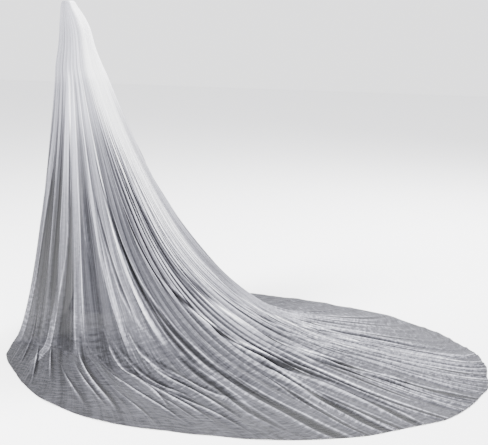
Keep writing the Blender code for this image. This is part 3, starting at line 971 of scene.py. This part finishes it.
def soft_net():
    """Nylon net, warp knitted: matt, faintly lustrous, greyer where single, and painted darker
    where it lies in shade.
    """
    material, tree, shader = new_material("soft_nylon_net")
    layer = add_node(tree, "ShaderNodeAttribute", {"attribute_name": "net_layers_and_shade"})
    crinkle = add_node(tree, "ShaderNodeAttribute", {"attribute_name": "net_crinkle"})
    cloth_uv = add_node(tree, "ShaderNodeUVMap", {"uv_map": "cloth_metres"})
    streaks = add_node(
        tree, "ShaderNodeMapping",
        Vector=cloth_uv.outputs["UV"], Scale=(1 / STREAK_WIDE, 1 / STREAK_LONG, 1.0),
    )
    streak_noise = add_node(
        tree, "ShaderNodeTexNoise",
        Vector=streaks.outputs["Vector"], Scale=1.0, Detail=4.0, Roughness=0.75,
    )
    streak_part = add_node(
        tree, "ShaderNodeMath", {"operation": "MULTIPLY_ADD"},
        i0=streak_noise.outputs["Fac"], i1=STREAK_TONE, i2=-STREAK_TONE / 2,
    )
    streaks_kept = add_node(
        tree, "ShaderNodeMath", {"operation": "MULTIPLY_ADD"},
        i0=crinkle.outputs["Fac"], i1=-FLOOR_CALM, i2=1.0,
    )
    crinkles = add_node(
        tree, "ShaderNodeMapping", Vector=cloth_uv.outputs["UV"],
        Scale=(1000 / (CRINKLE_MM * CRINKLE_STRETCH), 1000 / CRINKLE_MM, 1.0),
    )
    crinkle_noise = add_node(
        tree, "ShaderNodeTexNoise",
        Vector=crinkles.outputs["Vector"], Scale=1.0, Detail=4.0, Roughness=0.65,
    )
    # Crinkle tone follows the bump's noise: painted light and shade on the crinkles
    crinkle_shade = add_node(
        tree, "ShaderNodeMath", {"operation": "MULTIPLY_ADD"},
        i0=crinkle_noise.outputs["Fac"], i1=CRINKLE_SHADE, i2=-CRINKLE_SHADE / 2,
    )
    crinkle_here = add_node(
        tree, "ShaderNodeMath", {"operation": "MULTIPLY"},
        i0=crinkle_shade.outputs[0], i1=crinkle.outputs["Fac"],
    )
    both = add_node(
        tree, "ShaderNodeMath", {"operation": "MULTIPLY_ADD"},
        i0=streak_part.outputs[0], i1=streaks_kept.outputs[0], i2=crinkle_here.outputs[0],
    )
    total = add_node(
        tree, "ShaderNodeMath", {"operation": "ADD", "use_clamp": True},
        i0=layer.outputs["Fac"], i1=both.outputs[0],
    )
    # The ramp turns layers of net and painted shade into colour, from near black to white
    ramp = add_node(tree, "ShaderNodeValToRGB", Fac=total.outputs[0])
    for end in (0, -1):
        ramp.color_ramp.elements[end].color = linear(NET_COLOURS_AND_SHADE[end][1])
    for place, colour in NET_COLOURS_AND_SHADE[1:-1]:
        ramp.color_ramp.elements.new(place).color = linear(colour)
    bump = add_node(
        tree, "ShaderNodeBump", Strength=crinkle.outputs["Fac"],
        Distance=CRINKLE_HEIGHT, Height=crinkle_noise.outputs["Fac"],
    )
    see_through = add_node(
        tree, "ShaderNodeMapRange", Value=total.outputs[0], From_Min=0.1, From_Max=0.8,
        To_Min=THINNEST_ALPHA, To_Max=THICKEST_ALPHA,
    )
    set_inputs(
        tree, shader, Base_Color=ramp.outputs["Color"], Normal=bump.outputs["Normal"],
        Alpha=see_through.outputs["Result"], Roughness=0.62, Sheen_Weight=0.05,
        Sheen_Roughness=0.5, Specular_IOR_Level=0.12,
    )
    return material


net = soft_net()
for piece, _, _ in cloth.values():
    piece.data.materials.append(net)
print("net on", len(cloth), "meshes")

# %% [markdown]
# ## Meshes from rings
# The comb and the ribbon are small sweeps: a row of rings joined by faces. One
# function joins them, and another turns the result of a Geometry Nodes tree into
# a plain mesh once it has set the repeated pieces in their places.

# %% Helpers for swept and repeated pieces
def rings_of(x, y, z):
    """Rings of points: each coordinate is given for all points, a ring or a place round it."""
    return np.stack(np.broadcast_arrays(x, y, z), axis=2)


def swept_piece(name, rings, closed):
    """An object through rings of points; closed rings get an end face each."""
    count, around = rings.shape[:2]
    grid = np.arange(count * around).reshape(count, around)
    if closed:
        grid = np.concatenate([grid, grid[:, :1]], axis=1)
    faces = np.stack(
        [grid[:-1, :-1], grid[:-1, 1:], grid[1:, 1:], grid[1:, :-1]], axis=2
    ).reshape(-1, 4).tolist()
    if closed:
        faces += [grid[0, :-1].tolist()[::-1], grid[-1, :-1].tolist()]
    mesh = bpy.data.meshes.new(name)
    mesh.from_pydata(rings.reshape(-1, 3).tolist(), [], faces)
    mesh.polygons.foreach_set("use_smooth", np.ones(len(faces), dtype=bool))
    return add_object(name, mesh)


def nodes_tree(name, sizes):
    """An empty Geometry Nodes tree with named inputs, its start and its end."""
    tree = bpy.data.node_groups.new(name, "GeometryNodeTree")
    for size_name, kind in {"Geometry": "NodeSocketGeometry", **sizes}.items():
        tree.interface.new_socket(size_name, in_out="INPUT", socket_type=kind)
    tree.interface.new_socket("Geometry", in_out="OUTPUT", socket_type="NodeSocketGeometry")
    return tree, add_node(tree, "NodeGroupInput"), add_node(tree, "NodeGroupOutput")


def set_in_row(tree, start, pattern, named, change, least, most):
    """A pattern set along a line, each one a little different in what changes."""
    count, first, pitch = named
    line = add_node(
        tree, "GeometryNodeMeshLine", Count=start.outputs[count],
        Start_Location=start.outputs[first], Offset=start.outputs[pitch],
    )
    one = add_node(tree, "GeometryNodeObjectInfo", Object=pattern)
    vary = add_node(
        tree, "FunctionNodeRandomValue", {"data_type": "FLOAT_VECTOR"},
        i0=least, i1=most, Seed=start.outputs["Seed"],
    )
    placed = add_node(
        tree, "GeometryNodeInstanceOnPoints", Points=line.outputs["Mesh"],
        Instance=one.outputs["Geometry"], **{change: vary.outputs[0]},
    )
    return placed.outputs[0]


def grown_mesh(piece, tree, values):
    """Run the tree on a piece with its inputs set, and keep the plain mesh."""
    modifier = piece.modifiers.new(tree.name, "NODES")
    modifier.node_group = tree
    for item in tree.interface.items_tree:
        if item.in_out == "INPUT" and item.name in values:
            modifier[item.identifier] = values[item.name]
    evaluated = piece.evaluated_get(bpy.context.evaluated_depsgraph_get())
    mesh = bpy.data.meshes.new_from_object(evaluated)
    piece.modifiers.clear()
    piece.data = mesh
    print(piece.name, len(mesh.polygons), "faces")


def oval(count, half_wide, half_high, squareness):
    """Points round an oval; a squareness under 1 makes it boxier."""
    angle = np.linspace(0, 2 * math.pi, count, endpoint=False)
    wide = np.sign(np.cos(angle)) * np.abs(np.cos(angle)) ** squareness
    high = np.sign(np.sin(angle)) * np.abs(np.sin(angle)) ** squareness
    return half_wide * wide, half_high * high


print("helpers ready")

# %% [markdown]
# ## The comb
# The veil hangs from a plastic comb. Such a comb is moulded in one piece: a
# rounded spine with slim teeth that taper to blunt tips. The spine is swept
# here, and the teeth repeat along it, so a Geometry Nodes tree sets them with
# hardly visible differences in length.

# %% Spine and one tooth
COMB_WIDTH = 0.074
COMB_TEETH = 15
SPINE_TOP = -0.0026
SPINE_HEIGHT = 0.0060
SPINE_THICKNESS = 0.0024
SPINE_END = 0.0015
SPINE_MIDDLE = SPINE_TOP - SPINE_HEIGHT / 2
TOOTH_LENGTH = 0.0375
TOOTH_ROOT = 0.0026
TOOTH_TIP = 0.0012
# share of the tooth's length, width against an even taper
TOOTH_PROFILE = np.array([
    (0.0, 1.15), (0.03, 1.05), (0.10, 1.0), (0.30, 1.0), (0.50, 1.0),
    (0.70, 1.0), (0.88, 1.0), (0.955, 0.92), (0.985, 0.66), (1.0, 0.25),
])

places = COMB_WIDTH / 2 * np.sin(np.linspace(-math.pi / 2, math.pi / 2, 41))
past = np.clip((np.abs(places) - COMB_WIDTH / 2 + SPINE_END) / SPINE_END, 0, 0.995)
fullness = np.sqrt(1 - past**2)[:, None]
section_y, section_z = oval(24, SPINE_THICKNESS / 2, SPINE_HEIGHT / 2, 0.6)
comb = swept_piece("hair_comb", rings_of(
    places[:, None],
    fullness * section_y,
    SPINE_MIDDLE + (0.5 + 0.5 * fullness) * section_z,
), closed=True)

drops, swelling = TOOTH_PROFILE.T
tooth_half = (TOOTH_ROOT + (TOOTH_TIP - TOOTH_ROOT) * drops**0.8) / 2 * swelling
tooth_deep = np.minimum(tooth_half, SPINE_THICKNESS * 0.46)
round_x, round_y = oval(14, 1.0, 0.92, 0.8)
tooth = swept_piece("tooth_pattern", rings_of(
    tooth_half[:, None] * round_x,
    tooth_deep[:, None] * round_y,
    -drops[:, None] * TOOTH_LENGTH,
), closed=True)
print("tooth of", 1000 * TOOTH_LENGTH, "mm made")


# %% Set the teeth along the spine
TOOTH_SUNK = 0.0005
FLOW_MARKS_PER_METRE = 140.0


def teeth_tree(pattern, material):
    """Teeth on a line under the spine, joined to it."""
    tree, start, end = nodes_tree("comb_teeth", {
        "Teeth": "NodeSocketInt", "Pitch": "NodeSocketVector",
        "First tooth": "NodeSocketVector", "Seed": "NodeSocketInt",
    })
    placed = set_in_row(
        tree, start, pattern, ("Teeth", "First tooth", "Pitch"),
        "Scale", (1.0, 1.0, 0.985), (1.0, 1.0, 1.0),
    )
    join = add_node(tree, "GeometryNodeJoinGeometry")
    tree.links.new(start.outputs["Geometry"], join.inputs[0])
    tree.links.new(placed, join.inputs[0])
    real = add_node(tree, "GeometryNodeRealizeInstances", Geometry=join.outputs[0])
    painted = add_node(
        tree, "GeometryNodeSetMaterial", Geometry=real.outputs[0], Material=material
    )
    tree.links.new(painted.outputs[0], end.inputs[0])
    return tree


def comb_plastic():
    """Clear moulded plastic that looks pale grey: glossy, with faint flow marks 7 mm wide."""
    material, tree, shader = new_material("moulded_comb_plastic")
    place = add_node(tree, "ShaderNodeTexCoord")
    flow_noise = add_node(
        tree, "ShaderNodeTexNoise",
        Vector=place.outputs["Object"], Scale=FLOW_MARKS_PER_METRE, Detail=3.0,
    )
    ramp = add_node(tree, "ShaderNodeValToRGB", Fac=flow_noise.outputs["Fac"])
    ramp.color_ramp.elements[0].color = linear("#8e9199")
    ramp.color_ramp.elements[1].color = linear("#b4b7be")
    rough = add_node(
        tree, "ShaderNodeMapRange", Value=flow_noise.outputs["Fac"], To_Min=0.16, To_Max=0.34
    )
    bump = add_node(
        tree, "ShaderNodeBump", Strength=0.2, Distance=0.0001, Height=flow_noise.outputs["Fac"]
    )
    set_inputs(
        tree, shader, Base_Color=ramp.outputs["Color"], Roughness=rough.outputs["Result"],
        Normal=bump.outputs["Normal"], IOR=1.49,
    )
    return material


pitch = COMB_WIDTH / COMB_TEETH
plastic = comb_plastic()
comb.data.materials.append(plastic)
grown_mesh(comb, teeth_tree(tooth, plastic), {
    "Teeth": COMB_TEETH,
    "Pitch": (pitch, 0.0, 0.0),
    "First tooth": (-COMB_WIDTH / 2 + pitch / 2, 0.0, SPINE_TOP - SPINE_HEIGHT + TOOTH_SUNK),
    "Seed": 4,
})
bpy.data.objects.remove(tooth)

# %% [markdown]
# ## The ribbon
# The gathered edge is folded into a narrow satin ribbon, stitched through along
# its lower edge and whipped on to the spine with a loop of thread between each
# two teeth. The ribbon is one folded sheet that puckers a little at the
# stitches. Stitches and loops repeat, so a second tree sets them.

# %% Folded ribbon
RIBBON_LENGTH = 0.0764
RIBBON_HALF = 0.0018
RIBBON_BOTTOM = -0.0022
RIBBON_TOP = 0.0046
RIBBON_BEND = RIBBON_TOP - RIBBON_HALF
PUCKER = 0.00012
STITCH_PITCH = 0.0031

bend = np.linspace(math.pi, 0, 13)
side_z = np.linspace(RIBBON_BOTTOM, RIBBON_BEND, 10)[:-1]
side_y = np.full(len(side_z), RIBBON_HALF)
path_y = np.concatenate([-side_y, RIBBON_HALF * np.cos(bend), side_y])
path_z = np.concatenate([side_z, RIBBON_BEND + RIBBON_HALF * np.sin(bend), side_z[::-1]])
ribbon_x = np.linspace(-RIBBON_LENGTH / 2, RIBBON_LENGTH / 2, 221)[:, None]
low = 1 - ease(path_z, RIBBON_BOTTOM, RIBBON_BEND)
puckers = PUCKER * np.cos(2 * math.pi * ribbon_x / STITCH_PITCH) * (0.3 + 0.7 * low)
ribbon = swept_piece("ribbon_binding", rings_of(
    ribbon_x,
    path_y + np.sign(path_y) * (puckers - PUCKER),
    path_z + 0.5 * puckers * (1 - low),
), closed=False)
print("ribbon of", 1000 * RIBBON_LENGTH, "mm made")

# %% One stitch and one loop of thread
STITCH_LENGTH = 0.0018
THREAD_RADIUS = 0.0002
LOOP_CLEAR = 0.0005
LOOP_HALF = 0.0041
# place along the stitch, thickness there
STITCH_PROFILE = np.array([
    (-0.5, 0.2), (-0.46, 0.65), (-0.36, 0.95), (-0.15, 1.0),
    (0.15, 1.0), (0.36, 0.95), (0.46, 0.65), (0.5, 0.2),
])

thread_y, thread_z = oval(8, 1.0, 1.0, 1.0)
stitch_x, stitch_round = STITCH_PROFILE.T[:, :, None]
stitch = swept_piece("stitch_pattern", rings_of(
    stitch_x * STITCH_LENGTH,
    THREAD_RADIUS * stitch_round * thread_y,
    THREAD_RADIUS * stitch_round * thread_z,
), closed=True)

loop_turn = np.linspace(0, 2 * math.pi, 29)[:, None]
loop_y = (SPINE_THICKNESS / 2 + LOOP_CLEAR) * np.cos(loop_turn)
loop_z = LOOP_HALF * np.sign(np.sin(loop_turn)) * np.abs(np.sin(loop_turn)) ** 0.7
loop = swept_piece("loop_pattern", rings_of(
    THREAD_RADIUS * thread_y,
    loop_y + THREAD_RADIUS * thread_z * np.cos(loop_turn),
    loop_z + THREAD_RADIUS * thread_z * np.sin(loop_turn),
), closed=True)
print("stitch and loop made")


# %% Set the stitches and loops
STITCH_TURN = (0.0, 0.10, 0.06)
LOOP_TURN = (0.0, 0.0, 0.12)
STITCH_ABOVE_EDGE = 0.0008
LOOP_ABOVE_MIDDLE = 0.0008


def stitches_tree(stitch_pattern, loop_pattern, ribbon_material, thread_material):
    """Two rows of stitches and the loops round the spine, joined to the ribbon."""
    tree, start, end = nodes_tree("ribbon_stitches", {
        "Stitches": "NodeSocketInt", "Stitch pitch": "NodeSocketVector",
        "First front stitch": "NodeSocketVector", "First back stitch": "NodeSocketVector",
        "Loops": "NodeSocketInt", "Loop pitch": "NodeSocketVector",
        "First loop": "NodeSocketVector", "Seed": "NodeSocketInt",
    })
    join = add_node(tree, "GeometryNodeJoinGeometry")
    rows = [
        (stitch_pattern, ("Stitches", "First front stitch", "Stitch pitch"), STITCH_TURN),
        (stitch_pattern, ("Stitches", "First back stitch", "Stitch pitch"), STITCH_TURN),
        (loop_pattern, ("Loops", "First loop", "Loop pitch"), LOOP_TURN),
    ]
    for pattern, named, most in rows:
        least = tuple(-part for part in most)
        placed = set_in_row(tree, start, pattern, named, "Rotation", least, most)
        threaded = add_node(
            tree, "GeometryNodeSetMaterial", Geometry=placed, Material=thread_material
        )
        tree.links.new(threaded.outputs[0], join.inputs[0])
    painted = add_node(
        tree, "GeometryNodeSetMaterial",
        Geometry=start.outputs["Geometry"], Material=ribbon_material,
    )
    tree.links.new(painted.outputs[0], join.inputs[0])
    real = add_node(tree, "GeometryNodeRealizeInstances", Geometry=join.outputs[0])
    tree.links.new(real.outputs[0], end.inputs[0])
    return tree


# %% Satin and thread
# The weave of real satin is about 0.1 mm, too fine to show, so it is drawn coarser
WEAVE_MM = 0.35
# Width of one band of a wave texture at a scale of 1
BAND_WIDTH = 0.314


def woven_satin(name, dark, light, period_mm, roughness):
    """Satin or thread: fine ribs across, a smooth sheen and small tone changes."""
    material, tree, shader = new_material(name)
    place = add_node(tree, "ShaderNodeTexCoord")
    ribs = add_node(
        tree, "ShaderNodeTexWave", Vector=place.outputs["Object"],
        Scale=1000 * BAND_WIDTH / period_mm, Distortion=1.5, Detail=2.0,
    )
    ramp = add_node(tree, "ShaderNodeValToRGB", Fac=ribs.outputs["Fac"])
    ramp.color_ramp.elements[0].color = linear(dark)
    ramp.color_ramp.elements[1].color = linear(light)
    bump = add_node(
        tree, "ShaderNodeBump", Strength=0.5, Distance=0.00006, Height=ribs.outputs["Fac"]
    )
    set_inputs(
        tree, shader, Base_Color=ramp.outputs["Color"], Normal=bump.outputs["Normal"],
        Roughness=roughness, Sheen_Weight=0.3,
    )
    return material


satin = woven_satin("satin_ribbon", "#9c9ca4", "#c6c6ce", WEAVE_MM, 0.42)
thread = woven_satin("sewing_thread", "#8c8c94", "#b0b0b8", 0.6 * WEAVE_MM, 0.6)
ribbon.data.materials.append(satin)
stitch_count = int(RIBBON_LENGTH / STITCH_PITCH)
stitch_start = -(stitch_count - 1) / 2 * STITCH_PITCH
stitch_z = RIBBON_BOTTOM + STITCH_ABOVE_EDGE
grown_mesh(ribbon, stitches_tree(stitch, loop, satin, thread), {
    "Stitches": stitch_count,
    "Stitch pitch": (STITCH_PITCH, 0.0, 0.0),
    "First front stitch": (stitch_start, -RIBBON_HALF, stitch_z),
    "First back stitch": (stitch_start, RIBBON_HALF, stitch_z),
    "Loops": COMB_TEETH - 1,
    "Loop pitch": (pitch, 0.0, 0.0),
    "First loop": (-COMB_WIDTH / 2 + pitch, 0.0, SPINE_MIDDLE + LOOP_ABOVE_MIDDLE),
    "Seed": 9,
})
for pattern in (stitch, loop):
    bpy.data.objects.remove(pattern)

# %% [markdown]
# ## Floor and light
# A plain pale floor just under the train and soft studio light from large
# lamps, stronger from the picture's left and above, so that folds are shaded
# gently.

# %% Studio
FLOOR_HALF = 14.0
FLOOR_BELOW = 0.0005
# name, place, aim, width in metres, power in watts
LAMPS = [
    ("key_lamp", (3.4, -2.2, 3.0), (0, 0.6, -1.0), 2.0, 1500),
    ("fill_lamp", (3.6, 4.4, 2.2), (0, 0.8, -1.2), 3.2, 350),
    ("back_lamp", (-3.6, 2.0, 2.6), (0, 0.8, -1.0), 2.4, 900),
]


def add_floor():
    """A square of pale floor that fills the picture."""
    corners = [(-1, -1), (1, -1), (1, 1), (-1, 1)]
    z = -FLOOR_DROP - FLOOR_BELOW
    mesh = bpy.data.meshes.new("studio_floor")
    points = [(FLOOR_HALF * x, FLOOR_HALF * y, z) for x, y in corners]
    mesh.from_pydata(points, [], [(0, 1, 2, 3)])
    floor = add_object("studio_floor", mesh)
    material, tree, shader = new_material("pale_floor")
    set_inputs(tree, shader, Base_Color=linear("#f2f2f3"), Roughness=0.9)
    mesh.materials.append(material)


def add_lamp(name, place, aim, size, power):
    """A round soft lamp that faces its aim."""
    data = bpy.data.lights.new(name, "AREA")
    data.shape = "DISK"
    data.size = size
    data.energy = power
    lamp = add_object(name, data)
    lamp.location = place
    direction = np.array(aim) - np.array(place)
    heading = math.atan2(direction[1], direction[0])
    tilt = math.atan2(math.hypot(direction[0], direction[1]), -direction[2])
    lamp.rotation_euler = (tilt, 0, heading - math.pi / 2)


add_floor()
for lamp_row in LAMPS:
    add_lamp(*lamp_row)
world = bpy.data.worlds.new("studio_air")
world.use_nodes = True
background = world.node_tree.nodes["Background"]
set_inputs(world.node_tree, background, Color=linear("#f4f4f6"), Strength=2.4)
bpy.context.scene.world = world
print("studio ready")

# %% [markdown]
# Each mesh rides on the one body and stands for one solid. For each of the
# net's eight stretches of cut cloth, gathered at the comb, the size that it
# would have laid flat is worked out and printed.

# %% Declarations
GATHERED_AWAY = 1.15
LEAST_SPARE = 1.05
LEAST_FILLED = 0.34

for node, (piece, first, last) in cloth.items():
    area = GATHERED_AWAY * float(quad_area[first:last].sum())
    length = float(along_cloth[first:last + 1, -1].max())
    hem = float(step_across[first:last, -1].sum())
    width = min(max(hem, LEAST_SPARE * area / length), area / (LEAST_FILLED * length))
    flat = (round(width, 2), round(length, 2))
    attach(piece, "root")
    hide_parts(node)
    print(piece.name, "flat", flat, "m, area", round(area, 2), "m2")
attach(comb, "root")
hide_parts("comb")
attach(ribbon, "root")
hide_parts("binding")
